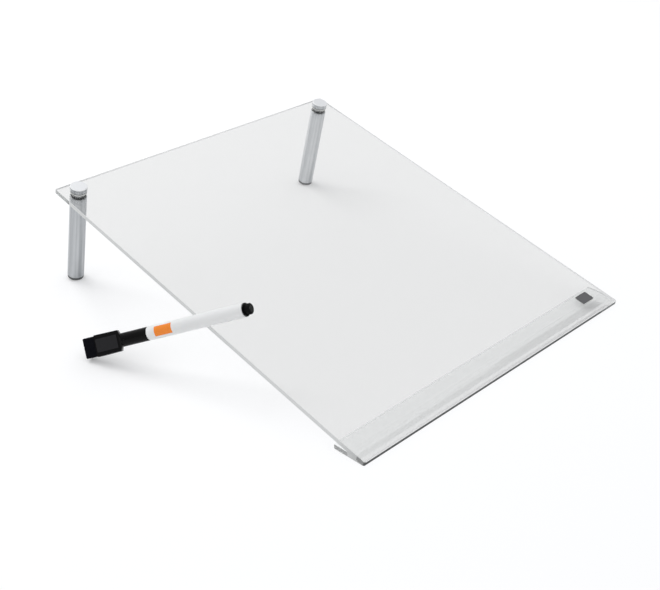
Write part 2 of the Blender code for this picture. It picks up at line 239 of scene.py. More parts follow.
def new_turning(name, profile, sides=turned_sides, ring=False):
    """Adds a piece turned about Z: a circle drawn along (radius, height) points, closed to a ring
    or with a face at both ends. It is left open."""
    bpy.ops.object.select_all(action="DESELECT")
    radius, height = profile[0]
    bpy.ops.mesh.primitive_circle_add(vertices=sides, radius=radius, location=(0, 0, height))
    turning = bpy.context.object
    turning.name = turning.data.name = name
    bpy.ops.object.transform_apply(location=True, rotation=True, scale=True)
    bpy.ops.object.mode_set(mode="EDIT")
    bpy.ops.mesh.select_mode(type="EDGE")
    bpy.ops.mesh.select_all(action="SELECT")
    if not ring:
        bpy.ops.mesh.edge_face_add()
        bpy.ops.mesh.select_all(action="SELECT")
    for next_radius, next_height in profile[1:] + (profile[:1] if ring else []):
        bpy.ops.mesh.extrude_region_move(TRANSFORM_OT_translate={"value": (0, 0, next_height - height)})
        share = next_radius / radius
        bpy.ops.transform.resize(value=(share, share, 1), center_override=(0, 0, next_height))
        radius, height = next_radius, next_height
    bpy.ops.mesh.select_all(action="SELECT")
    bpy.ops.mesh.remove_doubles(threshold=weld_distance)
    bpy.ops.mesh.normals_make_consistent(inside=False)
    return turning


def cut_out(piece, cutter):
    """Takes a cutter, closed or open, out of a piece, and leaves the piece open."""
    bpy.ops.object.mode_set(mode="OBJECT")
    bpy.context.view_layer.objects.active = piece
    cut = piece.modifiers.new("cut", "BOOLEAN")
    cut.operation = "DIFFERENCE"
    cut.solver = "EXACT"
    cut.object = cutter
    bpy.ops.object.modifier_apply(modifier=cut.name)
    bpy.data.objects.remove(cutter)
    bpy.ops.object.select_all(action="DESELECT")
    piece.select_set(True)
    bpy.ops.object.mode_set(mode="EDIT")


def round_edges(width, segments=3, sharper_than=30):
    """Rounds the open piece's sharp edges."""
    bpy.ops.mesh.select_mode(type="EDGE")
    bpy.ops.mesh.select_all(action="DESELECT")
    bpy.ops.mesh.edges_select_sharp(sharpness=radians(sharper_than))
    bpy.ops.mesh.bevel(offset=width, segments=segments)


def set_down(piece, place, body, *nodes, slot, smooth=None):
    """Closes a finished piece, puts its place in its mesh and lets it stand for its CAD nodes."""
    bpy.ops.object.mode_set(mode="OBJECT")
    bpy.ops.object.select_all(action="DESELECT")
    piece.select_set(True)
    bpy.context.view_layer.objects.active = piece
    if smooth:
        bpy.ops.object.shade_smooth_by_angle(angle=radians(smooth))
        even = piece.modifiers.new("even", "WEIGHTED_NORMAL")
        even.keep_sharp = True
        bpy.ops.object.modifier_apply(modifier=even.name)
    piece.matrix_world = place
    bpy.ops.object.transform_apply(location=True, rotation=True, scale=True)
    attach(piece, body)
    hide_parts(*nodes)


def own_coordinates(tree, place, scale=(1, 1, 1)):
    """Coordinates in the frame of a place, in metres or divided by a scale."""
    spot = add_node(tree, "ShaderNodeTexCoord")
    unlaid = add_node(tree, "ShaderNodeMapping", {
        "Vector": spot.outputs["Object"],
        "Location": place.to_translation(),
        "Rotation": place.to_euler(),
        "Scale": scale,
    }, vector_type="TEXTURE")
    return unlaid.outputs[0]


def acrylic_surface(tree, tint, roughness, normal, dull_share=0, dull_colour="FFFFFF"):
    """Clear acrylic that bends what is seen through it and lets the light past it fall straight. A
    share of its surface may be dull."""
    ray = add_node(tree, "ShaderNodeLightPath").outputs
    solid = add_node(tree, "ShaderNodeBsdfPrincipled", {
        "Base Color": linear(tint), "Roughness": roughness, "IOR": acrylic_ior,
        "Transmission Weight": 1, "Normal": normal,
    })
    dull = add_node(tree, "ShaderNodeBsdfDiffuse", {"Color": linear(dull_colour)})
    face = add_node(tree, "ShaderNodeMixShader", {
        0: dull_share, 1: solid.outputs[0], 2: dull.outputs[0],
    })
    straight = add_node(tree, "ShaderNodeBsdfTransparent", {"Color": linear(sheet_shade)})
    lit = add_node(tree, "ShaderNodeMixShader", {
        0: ray["Is Shadow Ray"], 1: face.outputs[0], 2: straight.outputs[0],
    })
    both = add_node(tree, "ShaderNodeMixShader", {
        0: ray["Is Diffuse Ray"], 1: lit.outputs[0], 2: straight.outputs[0],
    })
    add_node(tree, "ShaderNodeOutputMaterial", {"Surface": both.outputs[0]})


def acrylic_face(name, tint):
    """The glass clear face of a sheet of cast acrylic, with a trace of wiping marks."""
    finish, tree = new_finish(name)
    wiped = add_node(tree, "ShaderNodeTexNoise", {
        "Vector": own_coordinates(tree, board_place, (wipe_mark_width, wipe_mark_length, 1)),
        "Scale": 1, "Detail": 3, "Roughness": 0.6,
    })
    haze = add_node(tree, "ShaderNodeMapRange", {
        "Value": wiped.outputs[0], "From Min": 0.45, "From Max": 0.8, "To Min": 0, "To Max": 0.03,
    })
    waves = add_node(tree, "ShaderNodeBump", {
        "Height": wiped.outputs[0], "Strength": 0.02, "Distance": 0.0002,
    })
    acrylic_surface(tree, tint, haze.outputs[0], waves.outputs[0])
    return finish


def acrylic_edge(name, tint, dull_colour, dull_shares):
    """A sheet's edge, which keeps fine lines along the sheet from the scraper. Its dull share may
    grow from the front corners backwards."""
    finish, tree = new_finish(name)
    along = add_node(tree, "ShaderNodeSeparateXYZ", {"Vector": own_coordinates(tree, board_place)})
    share = add_node(tree, "ShaderNodeMapRange", {
        "Value": along.outputs["Y"], "From Min": polished_return, "From Max": scraped_start,
        "To Min": dull_shares[0], "To Max": dull_shares[1],
    })
    scraped = add_node(tree, "ShaderNodeTexNoise", {
        "Vector": own_coordinates(tree, board_place, (scrape_length, scrape_length, scrape_pitch)),
        "Scale": 1, "Detail": 2,
    })
    lines = add_node(tree, "ShaderNodeBump", {
        "Height": scraped.outputs[0], "Strength": 0.03, "Distance": 0.0001,
    })
    acrylic_surface(tree, tint, edge_roughness, lines.outputs[0], share.outputs[0], dull_colour)
    return finish


def on_rim(face):
    """True for the faces of the open panel's outer edges."""
    spot = face.calc_center_median()
    beside = abs(spot.x) > panel_high.x - panel_corner
    ahead = not panel_corner < spot.y < panel_high.y - panel_corner
    return abs(face.normal.z) < square_on and (beside or ahead)


right = Vector((1, 0, 0))
up = Vector(joint("left_cap_turn")["axis"])
back = up.cross(right)
board_turn = Matrix((right, back, up)).transposed().to_4x4()
lowest = own_corners(board_turn, "memo_panel")[0]
board_place = Matrix.Translation(board_turn @ Vector((0, lowest.y, lowest.z))) @ board_turn
leg_places = {
    side: Matrix.Translation(joint(side + "_cap_turn")["pos_m"]) @ board_turn for side in ("left", "right")
}
hole_radius = own_radii(leg_places["left"], "left_cap_washer")[0]

panel_low, panel_high = own_corners(board_place, "memo_panel")
memo_panel = new_block("clear_panel", panel_low, panel_high, panel_corner)
for leg_place in leg_places.values():
    hole_middle = board_place.inverted() @ leg_place.to_translation()
    bpy.ops.object.mode_set(mode="OBJECT")
    drill = new_turning("hole_drill", [(hole_radius, -panel_high.z), (hole_radius, 2 * panel_high.z)])
    bpy.ops.transform.translate(value=hole_middle)
    cut_out(memo_panel, drill)
round_edges(panel_edge_break, segments=2, sharper_than=60)

# Cast acrylic: glass clear faces. The back and right edges were ground white and the left one
# scraped, so that they catch the light as pale lines. The clear part of the other edges has a
# grey tint that is painted shade. The front edge was flame polished, and its dull share is a dark
# grey of painted shade. The left edge is less dull at its front end and again beside the leg, so
# that more of its painted shade shows there.
ground_edge = acrylic_edge("ground_acrylic_edge", ground_clear, ground_white, ground_shares)
scraped_edge = acrylic_edge("scraped_acrylic_edge", painted_shade_clear, scraped_white, scraped_shares)
shaded_polished_edge = acrylic_edge("flame_polished_acrylic_edge", painted_shade_clear, painted_shade_grey, polished_shares)
half_polished_edge = acrylic_edge(
    "half_polished_acrylic_edge", painted_shade_clear, scraped_white, half_polished_shares
)
panel_face = acrylic_face("cast_acrylic_panel_face", panel_clear)
for finish in (panel_face, ground_edge, scraped_edge, shaded_polished_edge, half_polished_edge):
    memo_panel.data.materials.append(finish)
leg_front = hole_middle.y - own_radii(leg_places["left"], "left_leg_barrel")[1]
for line in (polished_return, leg_front):
    pick(memo_panel, "faces", on_rim)
    bpy.ops.mesh.bisect(plane_co=(0, line, 0), plane_no=(0, 1, 0))
for number, rule in (
    (1, lambda spot, way: True),
    (2, lambda spot, way: way.x < -barely and way.y < mostly),
    (3, lambda spot, way: way.y < -mostly and way.z < partly),
    (4, lambda spot, way: (
        way.x < -barely and abs(way.y) < mostly and not polished_return < spot.y < leg_front
    )),
):
    finish_faces(memo_panel, number, lambda face: (
        on_rim(face) and rule(face.calc_center_median(), face.normal)
    ))
set_down(memo_panel, board_place, "board", "memo_panel", slot="clear_acrylic")

# Foot strip: a strip of the same sheet under the panel's front edge, planed along its front to the
# panel's slope and cemented to its underside, so that the front edge lies flat on the desk.
cement_gap = 0.00004
strip_edge_break = 0.00008
strip_feather = 0.0010
strip_clear = "FDFEFE"
half_scraped_start = 0.0118
half_scraped_shares = (0.5, 0.5)

strip_low, strip_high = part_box("foot_strip")
strip_low.y = board_place.to_translation().y + strip_feather
bpy.ops.object.select_all(action="DESELECT")
bpy.ops.mesh.primitive_cube_add(
    size=1, location=(strip_low + strip_high) / 2, scale=strip_high - strip_low
)
foot_strip = bpy.context.object
foot_strip.name = foot_strip.data.name = "clear_foot_strip"
bpy.ops.object.transform_apply(location=True, rotation=True, scale=True)
bpy.ops.object.mode_set(mode="EDIT")
bpy.ops.mesh.select_all(action="SELECT")
bpy.ops.mesh.bisect(
    plane_co=board_place.to_translation() - up * cement_gap, plane_no=up, use_fill=True, clear_outer=True
)
round_edges(strip_edge_break, segments=2)

# Cast acrylic: clear faces, also at the back, where only the rounded edges are ground and show as
# fine pale lines. The right end is ground too, and the left end scraped, its back part by half.
# The left end's clear part has the grey tint of painted shade, which shows most on its back part.
strip_face = acrylic_face("cast_acrylic_strip_face", strip_clear)
half_scraped_edge = acrylic_edge(
    "half_scraped_acrylic_edge", painted_shade_clear, scraped_white, half_scraped_shares
)
for finish in (strip_face, ground_edge, scraped_edge, half_scraped_edge):
    foot_strip.data.materials.append(finish)
half_scraped_line = strip_low.y + half_scraped_start
pick(foot_strip, "faces", lambda face: face.normal.x < -mostly)
bpy.ops.mesh.bisect(plane_co=(0, half_scraped_line, 0), plane_no=(0, 1, 0))
for number, rule in (
    (1, lambda spot, way: way.x > barely or barely < way.y < square_on),
    (2, lambda spot, way: way.x < -mostly),
    (3, lambda spot, way: way.x < -mostly and spot.y > half_scraped_line),
):
    finish_faces(foot_strip, number, lambda face: rule(face.calc_center_median(), face.normal))
set_down(foot_strip, Matrix.Identity(4), "board", "foot_strip", slot="clear_acrylic")

# Badge plate: a small dark metal plate stuck on the panel near its front right corner. It is left
# bare, with a fine sunk border and a brushed face.
badge_corner = 0.0009
badge_border = 0.0006
badge_sink = 0.00012
badge_edge_break = 0.0001
badge_grey = "727273"
badge_dark = "616162"
brush_line_length = 0.012
brush_line_pitch = 0.00025


def grained_finish(name, place, grain, detail, colours, dull=None, relief=None, sockets=None):
    """A material with one grain, whose width along each axis is in metres. Two colours, a range of
    roughness and a relief of some strength and depth follow the grain, and one colour stays even."""
    finish, tree = new_finish(name)
    skin = add_node(tree, "ShaderNodeTexNoise", {
        "Vector": own_coordinates(tree, place, grain), "Scale": 1, "Detail": detail,
    }).outputs[0]
    values = {"Base Color": linear(colours[0]), **(sockets or {})}
    if len(colours) == 2:
        values["Base Color"] = add_node(tree, "ShaderNodeMix", {
            0: skin, 6: linear(colours[0]), 7: linear(colours[1]),
        }, data_type="RGBA").outputs[2]
    if dull:
        values["Roughness"] = add_node(tree, "ShaderNodeMapRange", {
            "Value": skin, "To Min": dull[0], "To Max": dull[1],
        }).outputs[0]
    if relief:
        values["Normal"] = add_node(tree, "ShaderNodeBump", {
            "Height": skin, "Strength": relief[0], "Distance": relief[1],
        }).outputs[0]
    body = add_node(tree, "ShaderNodeBsdfPrincipled", values)
    add_node(tree, "ShaderNodeOutputMaterial", {"Surface": body.outputs[0]})
    return finish


badge_low, badge_high = own_corners(board_place, "badge_plate")
badge = new_block("dark_badge_plate", badge_low, badge_high, badge_corner)
round_edges(badge_edge_break)
pick(badge, "faces", lambda face: face.normal.z > square_on)
bpy.ops.mesh.inset(thickness=badge_border)
bpy.ops.mesh.inset(thickness=badge_sink)
bpy.ops.transform.translate(value=(0, 0, -badge_sink))

# Black-chromed steel, brushed along its length: a soft streaked shine on dark grey.
black_chrome = grained_finish(
    "brushed_black_chrome", board_place, (brush_line_length, brush_line_pitch, brush_line_pitch),
    detail=4, colours=(badge_dark, badge_grey), dull=(0.30, 0.50), relief=(0.3, 0.00003),
    sockets={"Metallic": 0.7},
)
badge.data.materials.append(black_chrome)
set_down(badge, board_place, "board", "badge_plate", slot="badge_grey", smooth=35)

# Leg barrels: round aluminium bar, turned, its ends chamfered and its top drilled and tapped for
# the screw. The left one is turned and the right one is its copy.
bar_chamfer = 0.0004
drill_point = 0.0018
drill_tip_share = 0.125
# The right bar's tones are lighter: painted light.
bar_tones_and_painted_light = {"left": ("9FA2A5", "D0D2D4"), "right": ("B2B5B8", "E4E6E8")}
drawn_width = 0.0035
drawn_length = 0.12
blast_grain = 0.0007


def set_down_pair(piece, name, body, slot, finishes, smooth=35):
    """Sets a finished piece down on the left leg, and a copy with its own mesh on the right one."""
    bpy.ops.object.mode_set(mode="OBJECT")
    other = piece.copy()
    other.data = piece.data.copy()
    bpy.context.collection.objects.link(other)
    for side, one in (("left", piece), ("right", other)):
        one.name = one.data.name = f"{side}_{name}_piece"
        for number, finish in enumerate(finishes[side]):
            if number == len(one.data.materials):
                one.data.materials.append(finish)
            one.data.materials[number] = finish
        bpy.context.view_layer.objects.active = one
        carrier = body.format(side)
        set_down(one, leg_places[side], carrier, f"{side}_{name}", slot=slot, smooth=smooth)


# Drawn aluminium bar, blasted and satin anodised: a soft grey shine, with lighter and darker
# streaks along the bar from the drawing die. The right bar's tones are painted a little lighter, as
# a painted highlight.
bar_finishes = {}
for side, place in leg_places.items():
    satin_bar, tree = new_finish(side + "_drawn_anodised_bar")
    streaks = add_node(tree, "ShaderNodeTexNoise", {
        "Vector": own_coordinates(tree, place, (drawn_width, drawn_width, drawn_length)),
        "Scale": 1, "Detail": 2,
    })
    grain = add_node(tree, "ShaderNodeTexNoise", {
        "Vector": own_coordinates(tree, place, (blast_grain,) * 3), "Scale": 1, "Detail": 2,
    })
    drawn = add_node(tree, "ShaderNodeMapRange", {
        "Value": streaks.outputs[0], "From Min": 0.3, "From Max": 0.7,
    })
    tone = add_node(tree, "ShaderNodeMix", {
        0: drawn.outputs[0], 6: linear(bar_tones_and_painted_light[side][0]), 7: linear(bar_tones_and_painted_light[side][1]),
    }, data_type="RGBA")
    dull = add_node(tree, "ShaderNodeMapRange", {"Value": grain.outputs[0], "To Min": 0.26, "To Max": 0.38})
    marks = add_node(tree, "ShaderNodeBump", {
        "Height": grain.outputs[0], "Strength": 0.1, "Distance": 0.00005,
    })
    metal = add_node(tree, "ShaderNodeBsdfPrincipled", {
        "Base Color": tone.outputs[2], "Metallic": 1, "Roughness": dull.outputs[0],
        "Normal": marks.outputs[0],
    })
    add_node(tree, "ShaderNodeOutputMaterial", {"Surface": metal.outputs[0]})
    bar_finishes[side] = [satin_bar]

first_leg = leg_places["left"]
bar_low, bar_high = own_corners(first_leg, "left_leg_barrel")
bar_radius = own_radii(first_leg, "left_leg_barrel")[1]
stud_low, stud_high = own_corners(first_leg, "left_screw_stud")
leg_barrel = new_turning("leg_barrel", [
    (bar_radius - bar_chamfer, bar_low.z),
    (bar_radius, bar_low.z + bar_chamfer),
    (bar_radius, bar_high.z - bar_chamfer),
    (bar_radius - bar_chamfer, bar_high.z),
    (hole_radius, bar_high.z),
    (hole_radius, stud_low.z),
    (hole_radius * drill_tip_share, stud_low.z - drill_point),
])
round_edges(bar_chamfer / 4, segments=2, sharper_than=40)
set_down_pair(leg_barrel, "leg_barrel", "board", "satin_aluminium", bar_finishes)

# Rubber feet: a disc of dark grey rubber stuck under each barrel, with a rounded rim and two shallow
# grooves in its sole against slipping.
small_turned_sides = 64
foot_groove_width = 0.0005
foot_groove_depth = 0.0003
foot_groove_radii = (0.0020, 0.0037)
foot_rim = 0.0002
rubber_dark = "565858"
rubber_grey = "686A6A"
rubber_grain = 0.0004

foot_low, foot_high = own_corners(first_leg, "left_rubber_foot")
foot_radius = own_radii(first_leg, "left_rubber_foot")[1]
sole = []
for radius in foot_groove_radii:
    near, far = radius - foot_groove_width / 2, radius + foot_groove_width / 2
    sole += [
        (near, foot_low.z),
        (near, foot_low.z + foot_groove_depth),
        (far, foot_low.z + foot_groove_depth),
        (far, foot_low.z),
    ]
foot_profile = sole + [(foot_radius, foot_low.z), (foot_radius, foot_high.z)]
foot = new_turning("rubber_foot", foot_profile, small_turned_sides)
round_edges(foot_rim / 2, segments=2)

# Dark grey rubber, moulded: dull, with a fine uneven skin.
rubber = grained_finish(
    "moulded_dark_rubber", board_place, (rubber_grain,) * 3, detail=3,
    colours=(rubber_dark, rubber_grey), dull=(0.6, 0.85), relief=(0.3, 0.00005),
)
set_down_pair(foot, "rubber_foot", "board", "black_rubber", {"left": [rubber], "right": [rubber]})

# Washers: a narrow black nylon ring between barrel and panel, and a thin milky washer between panel
# and cap, both moulded and a little smaller than the cap. The milky one turns with the cap.
washer_edge = 0.0001
ring_width = 0.0005
nylon_black = "1E1E20"
nylon_milky = "E4E5E2"
nylon_ior = 1.53
nylon_grain = 0.0005

# Nylon, moulded: the black one is half dull with a fine skin. The milky one is a little smoother and
# lets a trace of light through.
black_nylon = grained_finish(
    "moulded_black_nylon", board_place, (nylon_grain,) * 3, detail=3,
    colours=(nylon_black,), dull=(0.35, 0.55), relief=(0.2, 0.00004),
)
milky_nylon = grained_finish(
    "moulded_milky_nylon", board_place, (nylon_grain,) * 3, detail=3,
    colours=(nylon_milky,), dull=(0.30, 0.45), sockets={"IOR": nylon_ior, "Transmission Weight": 0.1},
)

for kind, body_name, slot, finish in (
    ("under_washer", "board", "black_nylon", black_nylon),
    ("cap_washer", "{}_washer", "clear_nylon", milky_nylon),
):
    low, high = own_corners(first_leg, "left_" + kind)
    inner_radius, outer_radius = own_radii(first_leg, "left_" + kind)
    if kind == "under_washer":
        inner_radius = outer_radius - ring_width
    washer = new_turning(kind, [
        (inner_radius, low.z), (outer_radius, low.z), (outer_radius, high.z), (inner_radius, high.z),
    ], small_turned_sides, ring=True)
    round_edges(washer_edge)
    set_down_pair(washer, kind, body_name, slot, {"left": [finish], "right": [finish]})

# Screw studs: zinc plated steel with a rolled right-hand thread all along, fixed in the cap and
# screwed into the barrel. The thread is one tooth that is wound up round the axis.
thread_pitch = 0.001
thread_sides = 32
spare_turns = 3
zinc_light = "C9CBCD"
zinc_dark = "A9ABAE"
zinc_spangle = 0.002

root_radius, crest_radius = own_radii(first_leg, "left_screw_stud")
thread_turns = round((stud_high.z - stud_low.z) / thread_pitch) + spare_turns
bpy.ops.object.select_all(action="DESELECT")
bpy.ops.mesh.primitive_circle_add(
    vertices=4, radius=1, location=(root_radius, 0, stud_low.z - thread_pitch), rotation=(pi / 2, 0, 0)
)
stud = bpy.context.object
stud.scale = (crest_radius - root_radius, thread_pitch / 2, 1)
bpy.ops.object.transform_apply(location=True, rotation=True, scale=True)
bpy.ops.object.mode_set(mode="EDIT")
bpy.ops.mesh.select_mode(type="VERT")
bpy.ops.mesh.select_all(action="DESELECT")
shape = bmesh.from_edit_mesh(stud.data)
for vertex in shape.verts:
    vertex.select_set(vertex.co.x < root_radius - weld_distance)
bmesh.update_edit_mesh(stud.data)
bpy.ops.mesh.delete(type="VERT")
bpy.ops.object.mode_set(mode="OBJECT")
wind = stud.modifiers.new("wind", "SCREW")
wind.axis = "Z"
wind.screw_offset = thread_pitch
wind.iterations = thread_turns
wind.steps = wind.render_steps = thread_sides
wind.use_merge_vertices = True
wind.merge_threshold = weld_distance
bpy.ops.object.modifier_apply(modifier=wind.name)
bpy.ops.object.mode_set(mode="EDIT")
for height, way in ((stud_low.z, -1), (stud_high.z, 1)):
    bpy.ops.mesh.select_all(action="SELECT")
    bpy.ops.mesh.bisect(plane_co=(0, 0, height), plane_no=(0, 0, way), use_fill=True, clear_outer=True)
bpy.ops.mesh.select_all(action="SELECT")
bpy.ops.mesh.remove_doubles(threshold=weld_distance)
bpy.ops.mesh.normals_make_consistent(inside=False)

# Bright zinc on steel: a pale blue-grey metal shine, uneven from place to place.
zinc = grained_finish(
    "bright_zinc_plate", board_place, (zinc_spangle,) * 3, detail=4,
    colours=(zinc_dark, zinc_light), dull=(0.22, 0.38), sockets={"Metallic": 1},
)
set_down_pair(stud, "screw_stud", "{}_cap", "zinc_steel", {"left": [zinc], "right": [zinc]}, smooth=40)

# Leg caps: turned aluminium buttons with a blind threaded hole underneath, which hold the panel
# down on the legs. Their faced tops are pale, partly from the facing and partly painted highlight,
# and their chamfer is painted near white as a painted highlight.
button_chamfer = 0.0004
button_edge = 0.00008
top_upwards = 0.9
chamfer_upwards = 0.3
# Pale tones of the faced top, partly painted highlight.
top_highlight_pale = "F2F3F4"
top_highlight_grey = "E6E7E9"
# Near white of the chamfer: a painted highlight.
chamfer_highlight_white = "FAFBFB"
facing_pitch = 0.0005

button_low, button_high = own_corners(first_leg, "left_leg_cap")
button_radius = own_radii(first_leg, "left_leg_cap")[1]
button = new_turning("leg_cap", [
    (hole_radius, stud_high.z + washer_edge),
    (hole_radius, button_low.z),
    (button_radius - button_chamfer, button_low.z),
    (button_radius, button_low.z + button_chamfer),
    (button_radius, button_high.z - button_chamfer),
    (button_radius - button_chamfer, button_high.z),
])
round_edges(button_edge, segments=2, sharper_than=40)

# Anodised aluminium, faced and chamfered on a lathe: a top with the faint rings of the cutter,
# its pale tones partly painted highlight, and round it a narrow chamfer with a painted highlight.
button_finishes = {}
for side, place in leg_places.items():
    highlit_faced_top, tree = new_finish(side + "_faced_anodised_top")
    turns = add_node(tree, "ShaderNodeTexWave", {
        "Vector": own_coordinates(tree, place, (facing_pitch,) * 3),
        "Scale": 0.3, "Distortion": 0.6, "Detail": 2,
    }, wave_type="RINGS", rings_direction="Z")
    tone = add_node(tree, "ShaderNodeMix", {
        0: turns.outputs[1], 6: linear(top_highlight_grey), 7: linear(top_highlight_pale),
    }, data_type="RGBA")
    marks = add_node(tree, "ShaderNodeBump", {
        "Height": turns.outputs[1], "Strength": 0.1, "Distance": 0.00005,
    })
    metal = add_node(tree, "ShaderNodeBsdfPrincipled", {
        "Base Color": tone.outputs[2], "Metallic": 0.5, "Roughness": 0.4, "Normal": marks.outputs[0],
    })
    add_node(tree, "ShaderNodeOutputMaterial", {"Surface": metal.outputs[0]})
    cut_chamfer = grained_finish(
        side + "_bright_cut_chamfer", place, (blast_grain,) * 3, detail=2,
        colours=(chamfer_highlight_white,), dull=(0.3, 0.4), sockets={"Metallic": 0.1},
    )
    button_finishes[side] = bar_finishes[side] + [highlit_faced_top, cut_chamfer]
for finish in button_finishes["left"]:
    button.data.materials.append(finish)
for number, least, most in ((1, top_upwards, 1), (2, chamfer_upwards, top_upwards)):
    finish_faces(button, number, lambda face: least < face.normal.z <= most + weld_distance)
set_down_pair(button, "leg_cap", "{}_cap", "satin_aluminium", button_finishes)

# Marker cap: one black moulding, a flat holder block for the eraser and the magnet, and over a
# slanting shoulder a round tube for the nib. Everything on the marker is modelled upright, from the
# eraser's end along its axis, and then laid down.
block_length = 0.0183
block_narrowing = 0.0003
shoulder_length = 0.0014
shoulder_slant = 0.5
block_corner = 0.0010
block_break = 0.0004
cap_bore_radius = 0.0034
nib_bore_radius = 0.0020
nib_bore_floor = 0.0170
mouth_edge = 0.00015
magnet_gap = 0.00015
magnet_stand = 0.0002
magnet_corner = 0.0005
tongue_gap = 0.0001
tongue_inset = 0.0010
tongue_length = 0.0030
plastic_black = "050506"
plastic_grain = 0.0006
polypropylene_ior = 1.49

pull = Vector(joint("marker_pull")["axis"])
magnet_way = max(frame["nodes"]["cap_magnet"].data.polygons, key=lambda face: face.area).normal
facing = magnet_way * (1 if magnet_way.z > 0 else -1)
marker_turn = Matrix((facing.cross(pull), facing, pull)).transposed().to_4x4()
holder_corners = own_corners(marker_turn, "nib_holder")
marker_end = (holder_corners[0] + holder_corners[1]) / 2
marker_end.z = own_corners(marker_turn, "eraser_felt")[0].z
marker_place = Matrix.Translation(marker_turn @ marker_end) @ marker_turn

felt_low, felt_high = own_corners(marker_place, "eraser_felt")
magnet_low, magnet_high = own_corners(marker_place, "cap_magnet")
cap_low, cap_high = own_corners(marker_place, "marker_cap")
tube_radius = cap_high.y
block_depth = magnet_high.y - magnet_stand
block_end = cap_low.z + block_length
tube_start = block_end + shoulder_length
onto_face = Matrix(((1, 0, 0, 0), (0, 0, 1, 0), (0, 1, 0, 0), (0, 0, 0, 1)))

marker_cap = new_block(
    "black_marker_cap",
    Vector((cap_low.x, -block_depth, cap_low.z)),
    Vector((cap_high.x, block_depth, block_end)),
    block_corner,
)
pick(marker_cap, "faces", lambda face: face.normal.z > square_on)
bpy.ops.transform.resize(value=(1 - block_narrowing / cap_high.x, 1, 1), center_override=(0, 0, block_end))
bpy.ops.mesh.delete(type="ONLY_FACE")
bpy.ops.mesh.primitive_circle_add(
    vertices=4 * (corner_segments + 1), radius=tube_radius, location=(0, 0, tube_start),
    rotation=(0, 0, pi / 4 / (corner_segments + 1)),
)
pick(marker_cap, "edges", lambda edge: edge.is_boundary or not edge.link_faces)
bpy.ops.mesh.bridge_edge_loops(number_cuts=2, interpolation="LINEAR")
pick(marker_cap, "edges", lambda edge: edge.is_boundary)
bpy.ops.mesh.extrude_region_move(TRANSFORM_OT_translate={"value": (0, 0, cap_high.z - tube_start)})
bpy.ops.mesh.edge_face_add()
shape = bmesh.from_edit_mesh(marker_cap.data)
for vertex in shape.verts:
    if block_end - weld_distance < vertex.co.z < tube_start + weld_distance:
        vertex.co.z -= shoulder_slant * (block_depth - vertex.co.y)
bmesh.update_edit_mesh(marker_cap.data)
bpy.ops.mesh.select_all(action="SELECT")
bpy.ops.mesh.normals_make_consistent(inside=False)
bpy.ops.object.mode_set(mode="OBJECT")
bore = new_turning("cap_bore", [
    (nib_bore_radius / 4, nib_bore_floor),
    (nib_bore_radius, nib_bore_floor + nib_bore_radius / 2),
    (nib_bore_radius, tube_start),
    (cap_bore_radius, tube_start),
    (cap_bore_radius, cap_high.z + tube_radius),
])
cut_out(marker_cap, bore)
bpy.ops.object.mode_set(mode="OBJECT")
slot_inset = tongue_inset - tongue_gap
socket = new_block(
    "eraser_socket",
    Vector((felt_low.x + slot_inset, felt_low.y + slot_inset, cap_low.z - block_break)),
    Vector((felt_high.x - slot_inset, felt_high.y - slot_inset, felt_high.z + tongue_gap)),
    block_break,
)
cut_out(marker_cap, socket)
bpy.ops.object.mode_set(mode="OBJECT")
recess = new_block(
    "magnet_recess",
    Vector((magnet_low.x - magnet_gap, magnet_low.z - magnet_gap, magnet_low.y)),
    Vector((magnet_high.x + magnet_gap, magnet_high.z + magnet_gap, 2 * block_depth)),
    magnet_corner,
)
bpy.ops.object.mode_set(mode="OBJECT")
recess.data.transform(onto_face)
cut_out(marker_cap, recess)
round_edges(mouth_edge, segments=2, sharper_than=40)

# Black polypropylene, moulded: nearly black and half shiny, with a fine skin.
cap_plastic = grained_finish(
    "moulded_black_polypropylene", marker_place, (plastic_grain,) * 3, detail=3,
    colours=(plastic_black,), dull=(0.18, 0.34), relief=(0.15, 0.00003),
    sockets={"IOR": polypropylene_ior, "Specular IOR Level": 0.1},
)
marker_cap.data.materials.append(cap_plastic)
set_down(marker_cap, marker_place, "pen_cap", "marker_cap", slot="black_plastic", smooth=35)

# Magnet: a flat plate of pressed ferrite, glued into the cap's face, which it stands out of by a
# hair. Its edges are broken a little by the grinding.
ferrite_dark = "1A1A1C"
ferrite_light = "262628"
ferrite_grain = 0.0008
magnet_edge = 0.00012

magnet = new_block(
    "ferrite_magnet",
    Vector((magnet_low.x, magnet_low.z, magnet_low.y)),
    Vector((magnet_high.x, magnet_high.z, magnet_high.y)),
    magnet_corner,
)
round_edges(magnet_edge, segments=2)
bpy.ops.object.mode_set(mode="OBJECT")
magnet.data.transform(onto_face)

# Pressed ferrite, ground: flat dark grey with a grainy, barely shining face.
ferrite = grained_finish(
    "ground_ferrite", marker_place, (ferrite_grain,) * 3, detail=5,
    colours=(ferrite_dark, ferrite_light), dull=(0.45, 0.65), relief=(0.3, 0.00004),
    sockets={"Specular IOR Level": 0.15},
)
magnet.data.materials.append(ferrite)
set_down(magnet, marker_place, "pen_cap", "cap_magnet", slot="ferrite", smooth=35)

# Eraser: a block of pressed wool felt, its tongue glued into the cap's socket. Its faces are
# uneven, and loose fibres stand out of them all over, but for the corner on the desk.
felt_corner = 0.0008
felt_cell = 0.0003
felt_unevenness = 0.00012
felt_seed = 4
fibre_seed = 11
fibre_count = 900
fibre_length = 0.0006
fibre_shortest = 0.4
fibre_thickness = 0.00004
fibre_lean = 0.9
fibre_desk_space = 0.0006
felt_dark = "060609"
felt_light = "0F1018"
felt_tuft = 0.0006

